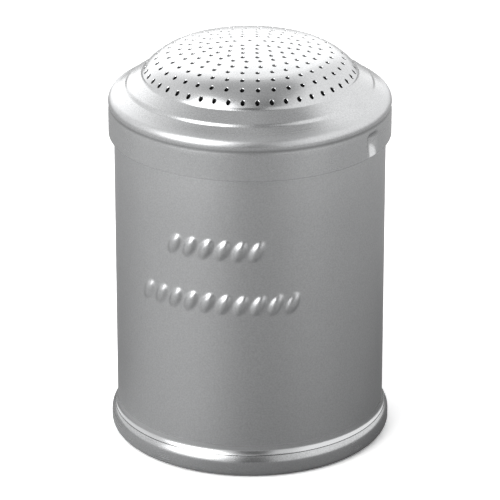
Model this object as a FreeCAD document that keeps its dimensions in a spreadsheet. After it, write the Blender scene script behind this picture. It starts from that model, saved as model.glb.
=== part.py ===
import FreeCAD, Part
import math
import os
import re
import Sketcher
from FreeCAD import Placement, Rotation, Vector

# A small aluminium shaker for spice, sugar or other powder, about 72 mm across and 105 mm high.
# A straight round can stands on a rounded foot, where a recessed bottom disc is seamed in.
# A pressed lid slips over the mouth of the can and is held by two inward pips, a bayonet closure.
# The crown of the lid is a shallow dome, punched with rings of small holes.
# Z is up, and the origin is at the centre of the ring that the foot stands on.

# Driving sizes in millimetres and degrees. Heights are above the foot unless the name says more.
SIZES = {
    "can_radius": 34.5,
    "can_height": 90.4,
    "can_sheet": 0.7,
    "groove_depth": 1.3,
    "groove_flank": 1.2,
    "groove_play": 1.1,
    "flute_width": 6.4,
    "flute_draft": 1.2,
    "flute_sheet": 0.6,
    "flare_radius": 2.2,
    "seam_height": 5.35,
    "seam_angle": 48.0,
    "seam_gap_angle": 3.0,
    "bead_radius": 2.4,
    "foot_radius": 2.0,
    "floor_sheet": 0.5,
    "recess_wall": 0.5,
    "lid_sheet": 0.7,
    "skirt_gap": 0.72,
    "seat_gap": 0.15,
    "skirt_depth": 8.95,
    "roll_radius": 1.6,
    "shoulder_slope": 30.2,
    "shoulder_width": 4.62,
    "band_slope": 31.3,
    "band_width": 4.05,
    "step_height": 0.44,
    "dome_rise": 8.14,
    "crown_radius": 69.35,
    "crown_reach": 19.47,
    "hole_radius": 0.575,
    "pip_azimuth": -31.5,
    "pip_width": 5.5,
    "pip_height": 6.0,
    "pip_depth": 1.4,
    "pip_tip_width": 1.0,
    "pip_tip_height": 0.8,
    "pip_tip_level": 3.95,
    "pip_edge": 0.35,
    "overrun": 2.0,
}

# Each ring of holes: its radius as a share of the dome's, and how many holes it has.
HOLE_RING_SHARES = (
    (0.140, 6), (0.213, 10), (0.297, 14), (0.386, 18), (0.459, 23),
    (0.558, 27), (0.650, 30), (0.760, 34), (0.867, 38), (0.966, 46),
)
# Where the facets of the dome change slope, between rings of holes, as shares of its radius.
FACET_SHARES = (0.070, 0.255, 0.422, 0.604, 0.705, 0.813, 0.917)
DOME_FACETS = 30
HOLE_SIDES = 4
PIP_COUNT = 2

doc = FreeCAD.newDocument("shaker")
sheet = doc.addObject("Spreadsheet::Sheet", "Sizes")
for row, (alias, value) in enumerate(SIZES.items(), start=1):
    sheet.set(f"A{row}", alias)
    sheet.set(f"B{row}", str(value))
    sheet.setAlias(f"B{row}", alias)
doc.recompute()


def bound(formula):
    """The formula with each size named as a cell of the sheet."""
    return re.sub(r"[a-z_]+", lambda word: f"Sizes.{word[0]}" if word[0] in SIZES else word[0], formula)


def number(formula):
    return float(sheet.evalExpression(formula))


# Heights and radii that follow from the driving sizes, as formulas in their names.
BORE_RADIUS = "(can_radius - can_sheet)"
FLARE_HEIGHT = "(seam_height + flare_radius * sin(seam_angle))"
FLARE_CENTRE = "(can_radius + flare_radius)"
BEAD_CENTRE = f"({FLARE_CENTRE} - (flare_radius + bead_radius) * cos(seam_angle))"
BEAD_HEIGHT = "(seam_height - bead_radius * sin(seam_angle))"
FOOT_WIDEST = f"({BEAD_CENTRE} + bead_radius)"

SKIRT_RADIUS = "(can_radius + skirt_gap + lid_sheet)"
SKIRT_BORE = "(can_radius + skirt_gap)"
ROLL_CENTRE = f"({SKIRT_RADIUS} - roll_radius)"
ROLL_HEIGHT = (
    "(can_height + seat_gap - (roll_radius - lid_sheet) * cos(shoulder_slope)"
    f" - ({ROLL_CENTRE} + (roll_radius - lid_sheet) * sin(shoulder_slope) - can_radius) * tan(shoulder_slope))"
)
ROLL_START = f"({ROLL_CENTRE} + roll_radius * sin(shoulder_slope))"
ROLL_TOP = f"({ROLL_HEIGHT} + roll_radius * cos(shoulder_slope))"
BAND_RADIUS = f"({SKIRT_RADIUS} - shoulder_width)"
SHOULDER_TOP = f"({ROLL_TOP} + ({ROLL_START} - {BAND_RADIUS}) * tan(shoulder_slope))"
DOME_RADIUS = f"({BAND_RADIUS} - band_width)"
BAND_TOP = f"({SHOULDER_TOP} + step_height + band_width * tan(band_slope))"
DOME_EDGE = f"({BAND_TOP} + step_height)"
SKIRT_LOW = f"({ROLL_HEIGHT} - skirt_depth)"

PIP_LEVEL = f"({SKIRT_LOW} + pip_tip_level)"
GROOVE_RADIUS = "(can_radius - groove_depth)"
GROOVE_HALF = "(pip_tip_height / 2 + groove_play)"
GROOVE_BEND = "(can_sheet * tan(atan(groove_depth / groove_flank) / 2))"


def round_corners(across, up, radius, start, stop, flats=2):
    """Corners of a round about a centre, drawn as a few flats from one angle to the other."""
    angles = [f"({start} + ({stop} - {start}) * {index / flats})" for index in range(flats + 1)]
    return [(f"{across} + {radius} * cos{angle}", f"{up} + {radius} * sin{angle}") for angle in angles]


def lip_corners(radius):
    """The flare at the foot of the can wall, from the wall down to the seam, radius from its centre."""
    return round_corners(FLARE_CENTRE, FLARE_HEIGHT, radius, "180", "(180 + seam_angle)", flats=1)


def outline(name, corners):
    """A closed sketch in the XZ plane through corners given as formulas of radius and height."""
    sketch = doc.addObject("Sketcher::SketchObject", name)
    sketch.Placement = Placement(Vector(), Rotation(Vector(1, 0, 0), 90))
    points = [Vector(number(across), number(up), 0) for across, up in corners]
    for first, last in zip(points, points[1:] + points[:1]):
        sketch.addGeometry(Part.LineSegment(first, last))
    for index, (point, formulas) in enumerate(zip(points, corners)):
        before = (index - 1) % len(points)
        sketch.addConstraint(Sketcher.Constraint("Coincident", before, 2, index, 1))
        for kind, axis, place, formula in zip(("DistanceX", "DistanceY"), (-2, -1), point, formulas):
            if formula == "0":
                sketch.addConstraint(Sketcher.Constraint("PointOnObject", index, 1, axis))
            else:
                held = sketch.addConstraint(Sketcher.Constraint(kind, index, 1, place))
                sketch.setExpression(f"Constraints[{held}]", bound(formula))
    return sketch


def turned(name, section):
    """The section turned once round the Z axis."""
    solid = doc.addObject("Part::Revolution", name)
    solid.Source = section
    solid.Axis = Vector(0, 0, 1)
    solid.Angle = 360
    solid.Solid = True
    return solid


def tapered_block(name, turn, reach, depth, width, tip_width, heights, tip_heights):
    """A block that narrows inwards, for dents in a round wall.

    Its wide face stands at the radius reach, and its narrow face lies depth nearer the axis.
    """
    block = doc.addObject("Part::Wedge", name)
    azimuth = f"(pip_azimuth + {turn})"
    block.Placement = Placement(Vector(), Rotation(Vector(0, 0, 1), 90))
    formulas = {
        "Xmin": f"-({width}) / 2",
        "Xmax": f"({width}) / 2",
        "X2min": f"-({tip_width}) / 2",
        "X2max": f"({tip_width}) / 2",
        "Ymax": depth,
        "Zmin": heights[0],
        "Zmax": heights[1],
        "Z2min": tip_heights[0],
        "Z2max": tip_heights[1],
        "Placement.Base.x": f"({reach}) * cos{azimuth}",
        "Placement.Base.y": f"({reach}) * sin{azimuth}",
        "Placement.Rotation.Angle": f"90 + {azimuth}",
    }
    block.Ymin = 0
    for size, formula in formulas.items():
        block.setExpression(size, bound(formula))
    return block


def pip_turns():
    return [360.0 * index / PIP_COUNT for index in range(PIP_COUNT)]


def joined(name, shapes):
    fuse = doc.addObject("Part::MultiFuse", name)
    fuse.Shapes = shapes
    return fuse


def cut_from(name, base, tool):
    cut = doc.addObject("Part::Cut", name)
    cut.Base = base
    cut.Tool = tool
    return cut


def make_can_wall():
    """The can: straight wall, a rolled groove and a mouth bead that the lid hides, and a flared foot.

    A flute lets each pip of the lid pass the bead, down to the groove where the lid turns.
    """
    high = f"({PIP_LEVEL} + {GROOVE_HALF})"
    low = f"({PIP_LEVEL} - {GROOVE_HALF})"
    outer = [
        ("can_radius", "can_height"),
        ("can_radius", f"{high} + groove_flank"),
        (GROOVE_RADIUS, high),
        (GROOVE_RADIUS, low),
        ("can_radius", f"{low} - groove_flank"),
    ]
    inner = [
        (BORE_RADIUS, f"{low} - groove_flank - {GROOVE_BEND}"),
        (f"{GROOVE_RADIUS} - can_sheet", f"{low} - {GROOVE_BEND}"),
        (f"{GROOVE_RADIUS} - can_sheet", f"{high} + {GROOVE_BEND}"),
        (BORE_RADIUS, f"{high} + groove_flank + {GROOVE_BEND}"),
        (BORE_RADIUS, "can_height"),
    ]
    flare = lip_corners("flare_radius")
    flare_inside = lip_corners("(flare_radius + can_sheet)")
    shell = turned("can_shell", outline("can_section", outer + flare + flare_inside[::-1] + inner))

    backings = []
    dents = []
    tip = "flute_width - 2 * flute_draft"
    for turn in pip_turns():
        span = (PIP_LEVEL, "can_height")
        reach = "can_radius - flute_sheet"
        backings.append(tapered_block("flute_backing", turn, reach, "groove_depth", "flute_width", tip, span, span))
        span = (PIP_LEVEL, "can_height + overrun")
        dents.append(tapered_block("flute_dent", turn, "can_radius", "groove_depth", "flute_width", tip, span, span))
    backed = joined("can_backed", [shell] + backings)
    return cut_from("can_wall", backed, joined("flute_dents", dents))


def make_base_disc():
    """The recessed bottom. Its rounded foot ring carries the flared lip of the can on its shoulder."""
    bead_end = "(seam_angle - seam_gap_angle)"
    lip = lip_corners("(flare_radius + can_sheet)")
    corners = [
        ("0", f"{FLARE_HEIGHT} - floor_sheet"),
        (f"{BORE_RADIUS} - recess_wall", f"{FLARE_HEIGHT} - floor_sheet"),
        (f"{BORE_RADIUS} - recess_wall", "0"),
        (f"{FOOT_WIDEST} - foot_radius", "0"),
    ]
    corners += round_corners(f"{FOOT_WIDEST} - foot_radius", "foot_radius", "foot_radius", "-90", "0")[1:]
    corners += round_corners(BEAD_CENTRE, BEAD_HEIGHT, "bead_radius", "0", bead_end)
    corners += lip[::-1]
    corners += [("0", FLARE_HEIGHT)]
    return turned("base_disc", outline("base_section", corners))


def make_lid_shell():
    """The lid below its dome: two fine steps, the rolled shoulder, and the skirt with its pips."""
    seat = "(can_height + seat_gap)"
    corners = [
        (f"{DOME_RADIUS} - lid_sheet", DOME_EDGE),
        (DOME_RADIUS, DOME_EDGE),
        (DOME_RADIUS, BAND_TOP),
        (BAND_RADIUS, f"{SHOULDER_TOP} + step_height"),
        (BAND_RADIUS, SHOULDER_TOP),
    ]
    corners += round_corners(ROLL_CENTRE, ROLL_HEIGHT, "roll_radius", "(90 - shoulder_slope)", "0")
    corners += [
        (SKIRT_RADIUS, SKIRT_LOW),
        (SKIRT_BORE, SKIRT_LOW),
        (SKIRT_BORE, f"{seat} - skirt_gap * tan(shoulder_slope)"),
        (
            f"{DOME_RADIUS} - lid_sheet",
            f"{seat} + (can_radius - {DOME_RADIUS} + lid_sheet) * tan(shoulder_slope)",
        ),
    ]
    shell = turned("lid_turned", outline("lid_section", corners))

    bumps = []
    dents = []
    heights = (f"{SKIRT_LOW} + pip_edge", f"{SKIRT_LOW} + pip_edge + pip_height")
    tips = (f"{PIP_LEVEL} - pip_tip_height / 2", f"{PIP_LEVEL} + pip_tip_height / 2")
    for turn in pip_turns():
        for name, reach, blocks in (("pip_bump", SKIRT_BORE, bumps), ("pip_dent", SKIRT_RADIUS, dents)):
            pip = tapered_block(name, turn, reach, "pip_depth", "pip_width", "pip_tip_width", heights, tips)
            blocks.append(pip)
    bumped = joined("lid_bumped", [shell] + bumps)
    return cut_from("lid_shell", bumped, joined("pip_dents", dents))


def dome_arcs():
    """The crown and rim arcs of the dome as (centre radius, centre height, radius, end angle)."""
    crown, reach = number("crown_radius"), number("crown_reach")
    radius, edge = number(DOME_RADIUS), number(DOME_EDGE)
    apex = edge + number("dome_rise")
    join_angle = math.asin(reach / crown)
    join_height = apex - crown * (1 - math.cos(join_angle))
    edge_angle = 2 * math.atan2(join_height - edge, radius - reach) - join_angle
    rim = (radius - reach) / (math.sin(edge_angle) - math.sin(join_angle))
    rim_centre = (crown - rim) * math.sin(join_angle)
    rim_height = apex - crown + (crown - rim) * math.cos(join_angle)
    return (0.0, apex - crown, crown, join_angle), (rim_centre, rim_height, rim, edge_angle)


def dome_point(radius, depth):
    """The point of the dome's section that lies depth below its skin, under the skin's point at a radius."""
    for centre, height, arc, end_angle in dome_arcs():
        angle = math.asin(min((radius - centre) / arc, 1.0))
        if angle <= end_angle:
            break
    return Vector(centre + (arc - depth) * math.sin(angle), 0, height + (arc - depth) * math.cos(angle))


def dome_rim(depth):
    """The point where the dome's section, depth below its skin, meets the level of its edge."""
    centre, height, arc, _ = dome_arcs()[1]
    level = number(DOME_EDGE)
    angle = math.acos((level - height) / (arc - depth))
    return Vector(centre + (arc - depth) * math.sin(angle), 0, level)


def turned_about_axis(point, angle):
    return Rotation(Vector(0, 0, 1), angle).multVec(point)


def dome_skin(depth):
    """The facets of one face of the dome, and the loop of its rim."""
    section = [dome_point(share * number(DOME_RADIUS), depth) for share in FACET_SHARES] + [dome_rim(depth)]
    angles = [360.0 * index / DOME_FACETS for index in range(DOME_FACETS + 1)]
    loops = [[turned_about_axis(point, angle) for angle in angles] for point in section]
    faces = [Part.Face(Part.makePolygon(loops[0]))]
    for upper, lower in zip(loops, loops[1:]):
        for index in range(DOME_FACETS):
            corners = [upper[index], lower[index], lower[index + 1], upper[index + 1], upper[index]]
            faces.append(Part.Face(Part.makePolygon(corners)))
    return faces, Part.makePolygon(loops[-1])


def hole_places():
    """Radius and angle of each hole: one in the middle, then the rings."""
    places = [(0.0, 0.0)]
    for share, count in HOLE_RING_SHARES:
        places += [(share * number(DOME_RADIUS), 360.0 * index / count) for index in range(count)]
    return places


def make_sifter_dome():
    """The punched dome: two skins of flat facets, and a hole straight down at each place.

    Facets and square punches of the round holes' area keep its 247 holes light.
    """
    thickness, overrun = number("lid_sheet"), number("overrun")
    outer, outer_rim = dome_skin(0.0)
    inner, inner_rim = dome_skin(thickness)
    rim = Part.makeFace([outer_rim, inner_rim], "Part::FaceMakerBullseye")
    blank = doc.addObject("Part::Feature", "dome_blank")
    blank.Shape = Part.Solid(Part.Shell(outer + inner + [rim]))

    step = 2 * math.pi / HOLE_SIDES
    corner_radius = number("hole_radius") * math.sqrt(step / math.sin(step))
    angles = [360.0 * (index + 0.5) / HOLE_SIDES for index in range(HOLE_SIDES + 1)]
    corners = [turned_about_axis(Vector(corner_radius, 0, 0), angle) for angle in angles]
    tall = number("dome_rise") + thickness + 2 * overrun
    punch = Part.Face(Part.makePolygon(corners)).extrude(Vector(0, 0, tall))
    low = Vector(0, 0, number(DOME_EDGE) - thickness - overrun)
    punches = []
    for radius, angle in hole_places():
        tool = punch.copy()
        place = turned_about_axis(Vector(radius, 0, 0), angle) + low
        tool.Placement = Placement(place, Rotation(Vector(0, 0, 1), angle))
        punches.append(tool)
    grid = doc.addObject("Part::Feature", "dome_punches")
    grid.Shape = Part.makeCompound(punches)
    return cut_from("sifter_dome", blank, grid)


pieces = [make_can_wall(), make_base_disc(), make_lid_shell(), make_sifter_dome()]
doc.recompute()
for item in doc.Objects:
    if "Invalid" in item.State or "Error" in item.State:
        raise RuntimeError(f"{item.Label} didn't build: {item.State}")
os.makedirs("parts", exist_ok=True)
for piece in pieces:
    shape = piece.Shape
    if shape.isNull() or not shape.isValid() or len(shape.Solids) != 1:
        raise RuntimeError(f"{piece.Label} is not one valid solid")
    print(f"{piece.Label}: {shape.Volume:.1f} mm3, {len(shape.Faces)} faces")
    shape.exportStep(f"parts/{piece.Label}.step")
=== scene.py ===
# %% [markdown]
# # A shaker of spun aluminium
#
# This notebook dresses the CAD model of a small shaker: a straight can on a rounded foot, and a
# lid whose dome is punched with rings of holes. The CAD frame says where each piece is. The scene
# is in metres, with Z up and the origin under the middle of the foot, so nothing is fitted. Sizes
# are typed in millimetres, and MM turns them into metres.

# %% Load the frame
import math

import bmesh
import bpy
from mathutils import Matrix, Vector


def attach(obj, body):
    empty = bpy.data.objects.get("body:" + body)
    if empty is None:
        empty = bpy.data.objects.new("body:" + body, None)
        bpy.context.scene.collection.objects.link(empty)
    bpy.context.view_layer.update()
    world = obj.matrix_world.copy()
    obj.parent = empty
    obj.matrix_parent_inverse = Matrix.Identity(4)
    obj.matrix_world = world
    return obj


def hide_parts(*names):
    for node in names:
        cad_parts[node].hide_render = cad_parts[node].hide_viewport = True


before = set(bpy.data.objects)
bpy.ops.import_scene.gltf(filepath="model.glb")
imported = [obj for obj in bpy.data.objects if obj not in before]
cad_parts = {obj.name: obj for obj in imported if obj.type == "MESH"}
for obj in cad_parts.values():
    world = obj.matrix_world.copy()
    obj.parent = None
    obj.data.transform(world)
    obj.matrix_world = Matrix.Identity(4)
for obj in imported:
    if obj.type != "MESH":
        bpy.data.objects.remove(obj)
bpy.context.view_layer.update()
MM = 0.001
print("CAD nodes:", sorted(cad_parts))

# %% [markdown]
# ## Camera
#
# The shaker was photographed with a long lens from well above the rim, so its sides only lean in a
# little. The lens and place were fitted to the outline of the object: 0.85 m in front of the axis,
# 0.40 m up, and turned 22.7 degrees down.

# %% Camera
LOOKS_DOWN = 22.68
camera_data = bpy.data.cameras.new("camera")
camera_data.lens = 256.63
camera_data.sensor_width = 36
camera = bpy.data.objects.new("camera", camera_data)
camera.location = (0, -0.8466, 0.4014)
camera.rotation_euler = (math.radians(90 - LOOKS_DOWN), 0, 0)
bpy.context.scene.collection.objects.link(camera)
bpy.context.scene.camera = camera
print("camera looks down by", LOOKS_DOWN, "degrees")


# %% [markdown]
# ## Helpers for materials
#
# Colours are written the way a paint program shows them, as sRGB hex, and turned to linear light
# once. One function adds any node with its settings and its links. The short ones after it use it
# for what comes up again and again: a sum, a ramp, a mix, and the distance from the Z axis.


# %% Helpers for materials
def linear(colour):
    """Turns an sRGB hex value such as "#a4a5a7" into a linear colour with alpha."""
    channels = [int(colour[i : i + 2], 16) / 255 for i in (1, 3, 5)]
    light = [c / 12.92 if c <= 0.04045 else ((c + 0.055) / 1.055) ** 2.4 for c in channels]
    return (*light, 1.0)


def add(tree, kind, sockets=None, **settings):
    """Adds a node. A socket is given a value, or another node's output to link."""
    node = tree.nodes.new(kind)
    for name, value in settings.items():
        setattr(node, name, value)
    for name, value in (sockets or {}).items():
        if isinstance(value, bpy.types.NodeSocket):
            tree.links.new(value, node.inputs[name])
        else:
            node.inputs[name].default_value = value
    return node


def calculate(tree, operation, *values):
    """One sum on one, two or three values."""
    return add(tree, "ShaderNodeMath", dict(enumerate(values)), operation=operation).outputs[0]


def ramp(tree, value, start, end, low, high, **settings):
    """Goes from low to high while a value goes from start to end, and stays there past the ends."""
    sockets = {"Value": value, 1: start, 2: end, 3: low, 4: high}
    return add(tree, "ShaderNodeMapRange", sockets, **settings).outputs[0]


def mix_values(tree, share, first, second):
    """Goes from the first value to the second as the share goes from 0 to 1."""
    sockets = {"Factor": share, 2: first, 3: second}
    return add(tree, "ShaderNodeMix", sockets, data_type="FLOAT").outputs[0]


def mix_colours(tree, share, first, second):
    """Goes from the first colour to the second as the share goes from 0 to 1."""
    sockets = {"Factor": share, 6: first, 7: second}
    return add(tree, "ShaderNodeMix", sockets, data_type="RGBA").outputs[2]


def dim(tree, colour, factor):
    """A colour times a factor."""
    sockets = {0: colour, 1: factor}
    return add(tree, "ShaderNodeVectorMath", sockets, operation="MULTIPLY").outputs[0]


def object_place(tree):
    """A place on the object, whole and as its X, Y and Z."""
    place = add(tree, "ShaderNodeTexCoord").outputs["Object"]
    return place, add(tree, "ShaderNodeSeparateXYZ", {0: place}).outputs


def from_axis(tree, parts):
    """How far a place is from the Z axis."""
    flat = add(tree, "ShaderNodeCombineXYZ", {"X": parts["X"], "Y": parts["Y"]}).outputs[0]
    return add(tree, "ShaderNodeVectorMath", {0: flat}, operation="LENGTH").outputs["Value"]


def seen_directly(tree):
    """1 for a ray that comes straight from the camera, or through something clear."""
    path = add(tree, "ShaderNodeLightPath").outputs
    return calculate(tree, "MAXIMUM", path["Is Camera Ray"], path["Is Transmission Ray"])


def new_material(name):
    """A material with an empty node tree and its output node."""
    material = bpy.data.materials.new(name)
    material.use_nodes = True
    material.node_tree.nodes.clear()
    return material, material.node_tree, add(material.node_tree, "ShaderNodeOutputMaterial")


print("mid grey #808080 is", round(linear("#808080")[0], 3), "in linear light")

# %% [markdown]
# ## Light
#
# Bare metal shows whatever is round it, so its look is made by what it mirrors. The shaker stands
# in a light tent: soft white cloth lit from outside. Two lamps make bright patches in the cloth,
# one left of the camera and one behind. The right side is evenly lit, and the slit that the
# camera looks through is dark. That slit draws the grey stripe down the middle of the lid.
#
# The tent is far away, so it is the world, and the patches are masks of the direction that a ray
# goes in. Azimuth is in degrees to the right of the camera's side and elevation is above the
# horizon. A brightness of 1 is white. Metal mirrors the tent, and the camera sees plain white.


# %% Directions and masks
def azimuth_of(tree, parts):
    """How far round from the camera's side a place or a direction is, in degrees."""
    ahead = calculate(tree, "MULTIPLY", parts["Y"], -1.0)
    return calculate(tree, "DEGREES", calculate(tree, "ARCTAN2", parts["X"], ahead))


def within(tree, angle, span, soft):
    """A mask that is 1 inside a span of degrees and fades to 0 over a soft edge."""
    low, high = span
    off = calculate(tree, "SUBTRACT", angle, (low + high) / 2)
    off = calculate(tree, "WRAP", off, 180.0, -180.0)
    off = calculate(tree, "ABSOLUTE", off)
    half = (high - low) / 2
    start, end = half + soft / 2, half - soft / 2
    return ramp(tree, off, start, end, 0.0, 1.0, interpolation_type="SMOOTHSTEP")


print("a span of 40 degrees covers", round(40 / 360, 2), "of the horizon")

# %% Light tent
CLOTH = 0.71
PATCHES = [
    # azimuth from, to; elevation from, to; soft edge; brightness
    ((-180, 180), (60, 120), 16, 0.48),  # roof
    ((-165, -92), (-8, 44), 26, 0.86),  # left side, towards the back
    ((-200, -142), (-4, 52), 38, 1.8),  # lamp behind
    ((42, 155), (-30, 57), 18, 1.02),  # right side
    ((6, 150), (62, 84), 10, 0.37),  # roof over the right side
    ((-69, -26), (-10, 30), 26, 1.2),  # glow under the left lamp
    ((-74, -24), (32, 58), 13, 3.4),  # left lamp, upper half
    ((-70, -29), (14, 40), 14, 4.4),  # left lamp, lower half
    ((-12, 18), (-30, 50), 12, 0.13),  # slit for the lens
    ((4, 54), (50, 68), 9, 0.2),  # flap over the slit
]
world = bpy.data.worlds.new("light_tent")
world.use_nodes = True
tree = world.node_tree
tree.nodes.clear()
way = add(tree, "ShaderNodeTexCoord").outputs["Generated"]
way = add(tree, "ShaderNodeSeparateXYZ", {0: way}).outputs
turn = azimuth_of(tree, way)
rise = calculate(tree, "DEGREES", calculate(tree, "ARCSINE", way["Z"]))
tent = CLOTH
for azimuth, elevation, soft, brightness in PATCHES:
    across = within(tree, turn, azimuth, soft)
    up = within(tree, rise, elevation, soft)
    tent = mix_values(tree, calculate(tree, "MULTIPLY", across, up), tent, brightness)

strength = mix_values(tree, seen_directly(tree), tent, 1.0)
air = add(tree, "ShaderNodeBackground", {"Color": (1, 1, 1, 1), "Strength": strength})
add(tree, "ShaderNodeOutputWorld", {"Surface": air.outputs[0]})
bpy.context.scene.world = world
bpy.context.scene.view_settings.view_transform = "Standard"
print("the tent has", len(PATCHES), "patches")

# %% [markdown]
# ## Floor and background
#
# The shaker stands on a sweep of matt paper, as in a product photograph. The camera sees the
# paper lifted to full white. Only its colour is lifted and not the light on it, so the shadow
# under the foot stays. Metal mirrors the same paper as pale grey, as in the photograph, with shade
# painted into that grey: lightest by the left lamp, painted darker below the lens, where the slit
# lets in no light, and painted darker close to the can, where the can shades it.

# %% Floor
PAPER = linear("#c1c1c1")
# painted shade on the paper that metal mirrors: away from the left lamp, and below the lens
PAINTED_SHADE_AWAY_FROM_LAMP = linear("#a9a9a9")
PAINTED_SHADE_BELOW_LENS = linear("#a0a0a0")
WHITE = (1.5, 1.5, 1.5, 1)

floor_mesh = bpy.data.meshes.new("floor")
bm = bmesh.new()
bmesh.ops.create_grid(bm, x_segments=1, y_segments=1, size=3)
bm.to_mesh(floor_mesh)
bm.free()
floor = bpy.data.objects.new("floor", floor_mesh)
bpy.context.scene.collection.objects.link(floor)

paper, tree, output = new_material("matt_white_paper")
place, parts = object_place(tree)
turn = azimuth_of(tree, parts)
grey = mix_colours(tree, within(tree, turn, (50, 250), 70), PAPER, PAINTED_SHADE_AWAY_FROM_LAMP)
grey = mix_colours(tree, within(tree, turn, (-20, 34), 46), grey, PAINTED_SHADE_BELOW_LENS)
# painted shade of the can on the paper that metal mirrors, weaker in front, where the left lamp
# reaches
painted_shade_near_can = ramp(tree, within(tree, turn, (-95, 25), 60), 0.0, 1.0, 0.62, 0.88)
shade = ramp(tree, from_axis(tree, parts), 60 * MM, 240 * MM, painted_shade_near_can, 1.06)
# metal sees the paper with this painted shade in its grey
is_glossy = add(tree, "ShaderNodeLightPath").outputs["Is Glossy Ray"]
mirrored = mix_colours(tree, is_glossy, PAPER, dim(tree, grey, shade))
seen = mix_colours(tree, seen_directly(tree), mirrored, WHITE)
matt = add(tree, "ShaderNodeBsdfDiffuse", {"Color": seen})
tree.links.new(matt.outputs[0], output.inputs["Surface"])
floor_mesh.materials.append(paper)
print("floor is", floor.dimensions.x, "m wide")

# %% [markdown]
# ## Spun aluminium
#
# The can and lid are drawn and spun from aluminium sheet, then left bare. The tool leaves fine
# rings round the axis, too fine to see one by one, and handling dulls the sheet in soft patches.
# Both are drawn from the place on the object: the rings follow the distance from the axis less
# the height, so they run round a wall and round a dome alike. Real rings are about 0.05 mm
# apart; they are drawn 0.4 mm apart, so that they show. A fine grain lies over both.
#
# Two things change along the sheet. The tool that rolls the foot burnishes the metal next to it,
# which leaves a smooth pale band. A tight bend stretches the metal and roughens it, and below the
# bend a darker line of painted shade is drawn along the neck, where the roll's undercut lies in
# shade.


# %% Spun aluminium
BURNISHED = linear("#dedfe0")
BURNISHED_ROUGHNESS = 0.2
BENT_ROUGHNESS = 0.35
WORN_SHADE = 0.84
# painted shade on the neck line below the bend, as a share of the colour
PAINTED_NECK_SHADE = 0.74
NECK_BELOW_BEND = 2.2


def spun_aluminium(name, colour, roughness, ring_depth, burnished_below=None, bent_at=None):
    """Bare sheet with its rings, patches and grain.

    It is burnished below one height and roughened by a bend at another, both in mm, and a line
    of painted shade darkens the neck below the bend.
    """
    material, tree, output = new_material(name)
    place, parts = object_place(tree)
    # rings: 30 mm long streaks round the axis, 0.4 mm apart along the sheet
    along = calculate(tree, "SUBTRACT", from_axis(tree, parts), parts["Z"])
    ring_place = add(tree, "ShaderNodeCombineXYZ", {"X": parts["X"], "Y": parts["Y"], "Z": along})
    ring_place = dim(tree, ring_place.outputs[0], (33, 33, 2500))
    rings = {"Vector": ring_place, "Scale": 1.0, "Detail": 3.0}
    rings = add(tree, "ShaderNodeTexNoise", rings).outputs[0]
    # patches where hands and cloths have dulled the sheet, about 8 mm across
    patches = {"Vector": place, "Scale": 120.0, "Detail": 4.0}
    patches = add(tree, "ShaderNodeTexNoise", patches).outputs[0]
    # grain, about 0.4 mm across
    grain = {"Vector": place, "Scale": 2600.0, "Detail": 1.0}
    grain = add(tree, "ShaderNodeTexNoise", grain).outputs[0]

    # rings and patches change how rough it is, and patches and grain how dark
    dulled = calculate(tree, "ADD", rings, patches)
    dulled = ramp(tree, dulled, 0.7, 1.3, roughness - 0.04, roughness + 0.05)
    bright = linear(colour)
    worn = [channel * WORN_SHADE for channel in bright[:3]] + [1]
    speckled = calculate(tree, "MULTIPLY_ADD", patches, 0.3, grain)
    tint = mix_colours(tree, ramp(tree, speckled, 0.4, 0.9, 0.0, 1.0), bright, worn)
    height = parts["Z"]
    if burnished_below is not None:
        start, end = (burnished_below + 1) * MM, burnished_below * MM
        worked = ramp(tree, height, start, end, 0.0, 1.0)
        dulled = ramp(tree, worked, 0.0, 1.0, dulled, BURNISHED_ROUGHNESS)
        tint = mix_colours(tree, worked, tint, BURNISHED)
    if bent_at is not None:
        above = calculate(tree, "SUBTRACT", height, bent_at * MM)
        off_bend = calculate(tree, "ABSOLUTE", above)
        dulled = ramp(tree, off_bend, 1.6 * MM, 0.6 * MM, dulled, BENT_ROUGHNESS)
        # painted shade: a darker line along the neck below the bend, where the undercut lies in
        # shade
        off_neck = calculate(tree, "ABSOLUTE", calculate(tree, "ADD", above, NECK_BELOW_BEND * MM))
        tint = dim(tree, tint, ramp(tree, off_neck, 0.15 * MM, 0.55 * MM, PAINTED_NECK_SHADE, 1.0))

    relief = calculate(tree, "MULTIPLY_ADD", patches, 2.0, rings)
    relief = {"Strength": 1.0, "Distance": ring_depth * MM, "Height": relief}
    relief = add(tree, "ShaderNodeBump", relief).outputs[0]
    metal = {"Base Color": tint, "Metallic": 1.0, "Roughness": dulled, "Normal": relief}
    metal = add(tree, "ShaderNodeBsdfPrincipled", metal)
    tree.links.new(metal.outputs[0], output.inputs["Surface"])
    return material


satin_wall = spun_aluminium("satin_spun_aluminium", "#d8d9da", 0.33, 0.005, burnished_below=7.8)
bright_lid = spun_aluminium("bright_spun_aluminium", "#dfe0e1", 0.23, 0.009, bent_at=90.5)
# the ring that slides on the counter is rubbed bright
burnished_foot = spun_aluminium("burnished_aluminium", "#d2d3d4", 0.24, 0.002, burnished_below=0)
print("metals:", satin_wall.name, bright_lid.name, burnished_foot.name)

# %% [markdown]
# ## Turning a section
#
# Every piece here is round, so each starts as its section: a thin outline in the plane of X and Z,
# drawn from a single vertex. Straight stretches are extruded, and rounds are spun about their own
# centre. Then the whole outline is spun once round the Z axis, as on a lathe.


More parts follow.
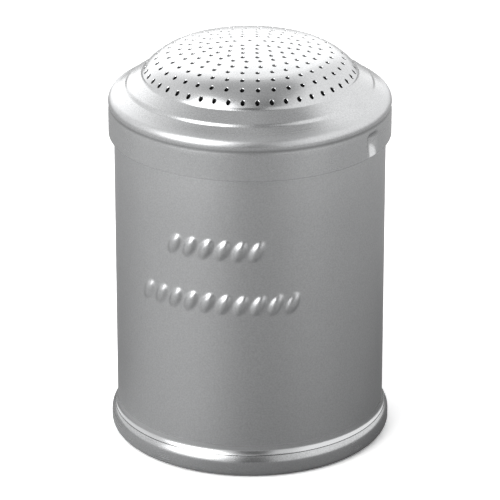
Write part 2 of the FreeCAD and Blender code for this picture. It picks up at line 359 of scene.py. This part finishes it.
# %% Turning a section
def section(bm, start, moves):
    """Draws a section. A move of two numbers is a line to that radius and height, in mm.

    A move of three is an arc: the radius and height of its centre, and how far it turns.
    """
    vert = bm.verts.new(Vector((start[0], 0, start[1])) * MM)
    for move in moves:
        place = Vector((move[0], 0, move[1])) * MM
        if len(move) == 2:
            grown = bmesh.ops.extrude_vert_indiv(bm, verts=[vert])
            vert = grown["verts"][0]
            vert.co = place
        else:
            turn = math.radians(move[2])
            steps = max(4, round(abs(move[2]) / 7))
            spun = bmesh.ops.spin(
                bm, geom=[vert], cent=place, axis=(0, -1, 0), angle=turn, steps=steps
            )
            vert = [v for v in spun["geom_last"] if isinstance(v, bmesh.types.BMVert)][0]
    return vert


def refine(bm, radius, low, high, cuts):
    """Divides the section's upright line between two heights, so that it can be shaped."""
    lines = [
        e
        for e in bm.edges
        if all(abs(v.co.x - radius * MM) < 1e-5 for v in e.verts)
        and abs(min(v.co.z for v in e.verts) - low * MM) < 1e-5
        and abs(max(v.co.z for v in e.verts) - high * MM) < 1e-5
    ]
    bmesh.ops.subdivide_edges(bm, edges=lines, cuts=cuts)
    return len(lines)


def turn_once(bm, steps):
    """Spins the section round the Z axis and closes the seam and the poles."""
    bmesh.ops.spin(
        bm,
        geom=bm.verts[:] + bm.edges[:],
        cent=(0, 0, 0),
        axis=(0, 0, 1),
        angle=2 * math.pi,
        steps=steps,
        use_merge=True,
    )
    bmesh.ops.remove_doubles(bm, verts=bm.verts[:], dist=1e-7)
    bmesh.ops.recalc_face_normals(bm, faces=bm.faces[:])


def soften(bm, corners, width):
    """Bevels the rings that the section's corners have made, each given as radius and height."""
    rings = []
    for edge in bm.edges:
        for radius, height in corners:
            if all(
                abs(v.co.xy.length - radius * MM) < 2e-5 and abs(v.co.z - height * MM) < 2e-5
                for v in edge.verts
            ):
                rings.append(edge)
    bmesh.ops.bevel(
        bm, geom=rings, offset=width * MM, segments=3, profile=0.5, affect="EDGES", material=-1
    )


def turn_of(vert):
    """How far round from the front a vertex is, in degrees to the right."""
    return math.degrees(math.atan2(vert.co.x, -vert.co.y))


def push_out(vert, distance):
    """Moves a vertex away from the Z axis by a distance in mm, or towards it if it is negative."""
    shift = vert.co.xy.normalized() * distance * MM
    vert.co.x += shift.x
    vert.co.y += shift.y


def piece(bm, name, body, node, material):
    """Makes the mesh a smooth piece that rides on its body in place of a CAD node."""
    mesh = bpy.data.meshes.new(name)
    bm.to_mesh(mesh)
    bm.free()
    mesh.shade_smooth()
    mesh.set_sharp_from_angle(angle=math.radians(50))
    mesh.materials.append(material)
    made = bpy.data.objects.new(name, mesh)
    bpy.context.scene.collection.objects.link(made)
    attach(made, body)
    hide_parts(node)
    print(name, "has", sum(len(p.vertices) - 2 for p in mesh.polygons), "triangles")
    return made


FINE_STEPS = 520
print("a fine turn has a step every", round(360 / FINE_STEPS, 2), "degrees")

# %% [markdown]
# ## The can wall
#
# A straight tube of 0.7 mm sheet. Its foot flares out over the bottom disc, and its mouth, which
# the lid hides, has a groove and a bead that the lid's pips catch. The rim is rolled round.

# %% The can wall: section
WALL = 34.5
SHEET = 0.7
BORE = WALL - SHEET
RIM = 90.4
GROOVE = (83.11, 86.11)
GROOVE_DEPTH = 1.3
GROOVE_FLANK = 1.2
GROOVE_SOFT = 0.5
BEND = 0.3
BAND = (40, 68)
SEAM_TURN = 44
FLARE = (36.638, 7.385)
FLARE_ROUND = 2.138

seam_reach = FLARE_ROUND + SHEET
INNER_SEAM = (
    FLARE[0] - seam_reach * math.cos(math.radians(SEAM_TURN)),
    FLARE[1] - seam_reach * math.sin(math.radians(SEAM_TURN)),
)
GROOVE_CORNERS = [
    (WALL, GROOVE[1] + GROOVE_FLANK),
    (WALL - GROOVE_DEPTH, GROOVE[1]),
    (WALL - GROOVE_DEPTH, GROOVE[0]),
    (WALL, GROOVE[0] - GROOVE_FLANK),
]
straight_top = RIM - SHEET / 2

bm = bmesh.new()
section(
    bm,
    (BORE, straight_top),
    [
        (WALL - SHEET / 2, straight_top, -180),
        *GROOVE_CORNERS,
        (WALL, BAND[1]),
        (WALL, BAND[0]),
        (WALL, FLARE[1]),
        (*FLARE, SEAM_TURN),
        INNER_SEAM,
        (*FLARE, -SEAM_TURN),
        (BORE, BAND[0]),
        (BORE, BAND[1]),
        (BORE, GROOVE[0] - GROOVE_FLANK - BEND),
        (BORE - GROOVE_DEPTH, GROOVE[0] - BEND),
        (BORE - GROOVE_DEPTH, GROOVE[1] + BEND),
        (BORE, GROOVE[1] + GROOVE_FLANK + BEND),
        (BORE, straight_top),
    ],
)
refined = refine(bm, WALL, *BAND, cuts=79) + refine(bm, BORE, *BAND, cuts=35)
print("refined", refined, "lines")
turn_once(bm, FINE_STEPS)
soften(bm, GROOVE_CORNERS, width=GROOVE_SOFT)

# %% [markdown]
# Two flutes run down through the bead at the mouth, so that the lid's pips can pass it. The sheet
# is pressed in there as deep as the groove, on both of its faces, with smooth flanks.

# %% The can wall: flutes
PIP_TURNS = (58.5, 238.5)
FLUTE_HALF_WIDTH = 3.2
FLUTE_HALF_FLOOR = 2.0
BEAD_START = 88
pressed = 0
bm.normal_update()
for vert in bm.verts:
    height = vert.co.z / MM
    if height < GROOVE[1] - GROOVE_SOFT:
        continue
    skin = WALL if vert.normal.xy.dot(vert.co.xy) > 0 else BORE
    depth = GROOVE_DEPTH
    if height < BEAD_START:
        depth = max(0, vert.co.xy.length / MM - (skin - GROOVE_DEPTH))
    for turn in PIP_TURNS:
        across = abs(math.radians((turn_of(vert) - turn + 180) % 360 - 180)) * WALL
        share = (FLUTE_HALF_WIDTH - across) / (FLUTE_HALF_WIDTH - FLUTE_HALF_FLOOR)
        share = min(1, max(0, share))
        if share > 0:
            push_out(vert, -depth * share * share * (3 - 2 * share))
            pressed += 1
print(pressed, "vertices pressed in")

# %% [markdown]
# On the front the sheet is raised in two rows of slanted oval beans. A bean is the sheet pressed
# out from inside, so the wall's own vertices are moved outwards there by a smooth hump, on both
# faces of the sheet.


# %% The can wall: two rows of beans
def bean_row(height, first_angle, last_angle, count):
    """Centres of a row's beans: how far round from the front, in degrees, and how high."""
    step = (last_angle - first_angle) / (count - 1)
    return [(first_angle + step * i, height) for i in range(count)]


BEAN = (3.2, 1.65)
RELIEF = 0.8
SLANT = math.radians(62)
beans = bean_row(61.5, -33, 3, 6) + bean_row(47, -47, 18, 10)

for vert in bm.verts:
    if not BAND[0] < vert.co.z / MM < BAND[1]:
        continue
    angle = turn_of(vert)
    for turn, height in beans:
        across = math.radians(angle - turn) * WALL
        up = vert.co.z / MM - height
        if max(abs(across), abs(up)) > BEAN[0]:
            continue
        long = (across * math.cos(SLANT) + up * math.sin(SLANT)) / BEAN[0]
        wide = (up * math.cos(SLANT) - across * math.sin(SLANT)) / BEAN[1]
        off_centre = long * long + wide * wide
        if off_centre < 1:
            push_out(vert, RELIEF * (1 - off_centre**1.5) ** 1.5)
print(len(beans), "beans raised by up to", RELIEF, "mm")
can_body = piece(bm, "can_body", "can", "can_wall", satin_wall)

# %% [markdown]
# ## The bottom disc
#
# The disc is recessed, so that the can stands on a narrow ring, and its edge is rolled outwards
# into the rounded foot. The wall's flare lies on the foot's shoulder. The bead of the foot ends
# just short of the flare's edge, and the fine groove left between them is the seam's dark line.

# %% The bottom disc
FOOT = 36.022
FOOT_ROUND = 2
BEAD = (32.607, 3.566)
BEAD_TURN = 40.5
RECESS = 33.3
UNDERSIDE = 6.485
bm = bmesh.new()
section(
    bm,
    (0, UNDERSIDE),
    [
        (RECESS, UNDERSIDE),
        (RECESS, 0),
        (FOOT - FOOT_ROUND, 0),
        (FOOT - FOOT_ROUND, FOOT_ROUND, 90),
        (FOOT, BEAD[1]),
        (*BEAD, BEAD_TURN),
        INNER_SEAM,
        (*FLARE, -SEAM_TURN),
        (0, FLARE[1]),
    ],
)
turn_once(bm, steps=400)
soften(bm, [(RECESS, UNDERSIDE), (RECESS, 0)], width=0.25)
foot_disc = piece(bm, "foot_disc", "can", "base_disc", burnished_foot)

# %% [markdown]
# ## The lid's curves
#
# The real lid is one pressed sheet. Its crown is a flat arc over the middle that runs into a
# tighter arc near the edge, and a small lip turns that down into the first step. The dome is a
# piece of its own here, as in the CAD, so the arcs are worked out once and both pieces use them.

# %% The lid's curves
LID_SHEET = 0.7
DOME = 27.25
EDGE = 96.565
CROWN = 69.35
APEX = EDGE + 8.14
REACH = 19.47
LIP = 0.5
crown_centre = (0, APEX - CROWN)
crown_turn = math.asin(REACH / CROWN)
join = crown_centre[1] + math.sqrt(CROWN**2 - REACH**2)
edge_turn = 2 * math.atan2(join - EDGE, DOME - REACH) - crown_turn
rim_arc = (DOME - REACH) / (math.sin(edge_turn) - math.sin(crown_turn))
rim_centre = (
    (CROWN - rim_arc) * math.sin(crown_turn),
    crown_centre[1] + (CROWN - rim_arc) * math.cos(crown_turn),
)
lip_across = DOME - LIP - rim_centre[0]
lip_up = math.sqrt((rim_arc - LIP) ** 2 - lip_across**2)
lip_centre = (DOME - LIP, rim_centre[1] + lip_up)
lip_turn = math.atan2(lip_across, lip_up)
lip_end = math.acos((EDGE - lip_centre[1]) / LIP)
LIP_FOOT = (lip_centre[0] + LIP * math.sin(lip_end), EDGE)
print("the dome slopes by", round(math.degrees(lip_turn), 1), "degrees where its lip begins")

# %% [markdown]
# ## The lid
#
# Below its dome the lid has two fine steps, a rolled shoulder, a shallow neck line and a straight
# skirt. All are one section, turned once. The steps are rounded as far as their height lets them,
# because a rounded edge mirrors a whole sweep of the tent, which draws it as a bright thread.

# %% The lid: section
SKIRT = 35.92
SKIRT_BORE = SKIRT - LID_SHEET
SKIRT_FOOT = 80.66
NECK = 86.8
NECK_LINE = [(SKIRT - 0.16, 88.12), (SKIRT - 0.07, 87.5)]
STEPS = [(27.472, 95.99), (31.05, 93.812), (31.55, 93.075)]
SHOULDER_SLOPE = 30.2
SHOULDER_CORNER = 90.53
ROLL_ROUND = 2.4
ROLL_TUCK = 18
UNDER_SHOULDER = [(SKIRT_BORE, 90.13), (DOME - LID_SHEET, 95.18)]
slope = math.radians(SHOULDER_SLOPE)
ROLL = (
    SKIRT - ROLL_ROUND,
    SHOULDER_CORNER - ROLL_ROUND * math.tan((math.pi / 2 - slope) / 2),
)
bm = bmesh.new()
section(
    bm,
    (DOME - LID_SHEET, EDGE),
    [
        LIP_FOOT,
        *STEPS,
        (ROLL[0] + ROLL_ROUND * math.sin(slope), ROLL[1] + ROLL_ROUND * math.cos(slope)),
        (*ROLL, SHOULDER_SLOPE - 90 - ROLL_TUCK),
        *NECK_LINE,
        (SKIRT, NECK),
        (SKIRT, SKIRT_FOOT),
        (SKIRT_BORE, SKIRT_FOOT),
        (SKIRT_BORE, NECK),
        *UNDER_SHOULDER,
        (DOME - LID_SHEET, EDGE),
    ],
)
refined = [refine(bm, radius, SKIRT_FOOT, NECK, cuts=31) for radius in (SKIRT, SKIRT_BORE)]
print("refined", sum(refined), "lines")
turn_once(bm, FINE_STEPS)
soften(bm, STEPS, width=0.28)
soften(bm, NECK_LINE, width=0.14)
soften(bm, [(SKIRT, SKIRT_FOOT), (SKIRT_BORE, SKIRT_FOOT)], width=0.12)

# %% [markdown]
# Two pips are pressed into the skirt from outside, opposite each other. They catch under the
# bead of the can's mouth. Each is a dent with steep sides and a long lower slope, so the vertices
# of both faces of the sheet are moved inwards by one smooth hollow.

# %% The lid: pips
PIP_DEPTH = 1.5
PIP_HALF_WIDTH = 2.9
PIP_DEEPEST = 85.1
PIP_ABOVE = 2.1
PIP_BELOW = 4.7
PIP_FLANK = 1.3
for vert in bm.verts:
    height = vert.co.z / MM - PIP_DEEPEST
    up = height / (PIP_ABOVE if height > 0 else PIP_BELOW)
    for turn in PIP_TURNS:
        off = (turn_of(vert) - turn + 180) % 360 - 180
        across = abs(math.radians(off) * SKIRT / PIP_HALF_WIDTH)
        if across < 1 and abs(up) < 1:
            push_out(vert, -PIP_DEPTH * ((1 - across**2) * (1 - up**2)) ** PIP_FLANK)
lid_body = piece(bm, "lid_body", "lid", "lid_shell", bright_lid)

# %% [markdown]
# ## The punched dome
#
# The crown is two skins of 0.7 mm sheet. The holes are punched straight down, in ten rings round
# one in the middle, so those near the edge come out longer than wide. The punch drags the sheet
# in a little, which leaves a rounded mouth. So each punch is a sixteen-sided rod that flares at
# the top, and it is sheared until its flare lies along the sheet. All punches are gathered in one
# mesh and cut away by one Boolean.

# %% The punched dome: blank
inner_turn = math.acos((EDGE - rim_centre[1]) / (rim_arc - LID_SHEET))
inner_edge = rim_centre[0] + (rim_arc - LID_SHEET) * math.sin(inner_turn)
bm = bmesh.new()
section(
    bm,
    (0, APEX),
    [
        (*crown_centre, -math.degrees(crown_turn)),
        (*rim_centre, math.degrees(crown_turn - lip_turn)),
        (*lip_centre, math.degrees(lip_turn - lip_end)),
        (inner_edge, EDGE),
        (*rim_centre, math.degrees(inner_turn - crown_turn)),
        (*crown_centre, math.degrees(crown_turn)),
    ],
)
turn_once(bm, steps=240)
dome = piece(bm, "sifter_crown", "lid", "sifter_dome", bright_lid)

# %% The punched dome: one punch
HOLE = 0.52
MOUTH = 0.7
PUNCH_LOW = -8
PUNCH_TOP = 0.12
FLARED = [(HOLE, -0.16), (HOLE + 0.05, -0.06), (MOUTH, PUNCH_TOP)]
bm = bmesh.new()
section(bm, (0, PUNCH_LOW), [(HOLE, PUNCH_LOW), *FLARED, (0, PUNCH_TOP)])
turn_once(bm, steps=16)
one_punch = bpy.data.meshes.new("one_punch")
bm.to_mesh(one_punch)
bm.free()
print("a punch has", len(one_punch.polygons), "faces")

# %% The punched dome: holes
# each ring's radius in mm, and how many holes it has
RINGS = [
    (3.8, 6), (5.8, 10), (8.1, 14), (10.5, 18), (12.5, 23),
    (15.2, 27), (17.7, 30), (20.7, 34), (23.6, 38), (26.3, 46),
]
places = [(0, 0)]
for radius, count in RINGS:
    places += [(radius, 2 * math.pi * i / count) for i in range(count)]
bm = bmesh.new()
for radius, angle in places:
    arc, centre = (CROWN, crown_centre) if radius < REACH else (rim_arc, rim_centre)
    across = radius - centre[0]
    up = math.sqrt(arc**2 - across**2)
    shear = Matrix.Identity(4)
    shear[2][0] = -across / up
    on_sheet = Matrix.Translation(Vector((radius, 0, centre[1] + up)) * MM)
    punch = one_punch.copy()
    punch.transform(Matrix.Rotation(angle, 4, "Z") @ on_sheet @ shear)
    bm.from_mesh(punch)
    bpy.data.meshes.remove(punch)
punch_mesh = bpy.data.meshes.new("punches")
bm.to_mesh(punch_mesh)
bm.free()
punches = bpy.data.objects.new("punches", punch_mesh)
bpy.context.scene.collection.objects.link(punches)
cut = dome.modifiers.new("holes", "BOOLEAN")
cut.operation = "DIFFERENCE"
cut.solver = "EXACT"
cut.object = punches
bpy.context.view_layer.update()
evaluated = dome.evaluated_get(bpy.context.evaluated_depsgraph_get())
punched = bpy.data.meshes.new_from_object(evaluated)
dome.modifiers.clear()
dome.data = punched
bpy.data.objects.remove(punches)
triangles = sum(len(p.vertices) - 2 for p in punched.polygons)
print(len(places), "holes,", triangles, "triangles")

# %% [markdown]
# Cutting leaves long thin faces round each hole, and shading averaged over them would dent the
# gleam of the dome. The true normal of the sheet is known at every point, since it points away
# from the centre of its arc, so it is set as the mesh's own. Walls of holes keep their faces'.


# %% The punched dome: shading
ON_SKIN = 0.9


def sheet_normal(place):
    """The way out of the dome's sheet at a place on either of its skins."""
    radius, height = place.xy.length / MM, place.z / MM
    centre = crown_centre
    if math.atan2(radius, height - crown_centre[1]) > crown_turn:
        centre = rim_centre
    if radius > rim_centre[0] and math.dist((radius, height), lip_centre) < LIP + 0.02:
        if math.atan2(radius - rim_centre[0], height - rim_centre[1]) > lip_turn:
            centre = lip_centre
    out = place.xy.normalized() if radius > 1e-6 else Vector((0, 0))
    across = radius - centre[0]
    return Vector((out.x * across, out.y * across, height - centre[1])).normalized()


normals = []
for face in punched.polygons:
    for corner in face.loop_indices:
        out = sheet_normal(punched.vertices[punched.loops[corner].vertex_index].co)
        facing = face.normal.dot(out)
        if abs(facing) > ON_SKIN:
            normals.append(out if facing > 0 else -out)
        else:
            normals.append(face.normal.copy())
punched.shade_smooth()
punched.normals_split_custom_set(normals)
print("set", len(normals), "corner normals")

# %% [markdown]
# A punch shears the sheet, so the wall of a hole is torn and dull. Its colour is painted with
# light and shade: walls of holes round the edge, which slope away from the light, are painted near
# black, and walls of holes on top, where light gets in, are painted pale grey.

# %% The punched dome: walls of the holes
torn, tree, output = new_material("sheared_aluminium_painted_shade")
place, parts = object_place(tree)
# painted shade and light: hole walls pale grey near the middle and near black towards the edge
outwards = ramp(tree, from_axis(tree, parts), 14 * MM, 22 * MM, 0.0, 1.0)
shade = mix_colours(tree, outwards, linear("#8e8e8f"), linear("#1e1e1f"))
metal = {"Base Color": shade, "Metallic": 0.6, "Roughness": 0.7}
metal = add(tree, "ShaderNodeBsdfPrincipled", metal)
tree.links.new(metal.outputs[0], output.inputs["Surface"])
punched.materials.append(torn)
STEEP = 0.2
walls = [f for f in punched.polygons if abs(f.normal.z) < STEEP]
for face in walls:
    face.material_index = 1
print(len(walls), "faces in the walls of holes,", len(punched.materials), "materials")
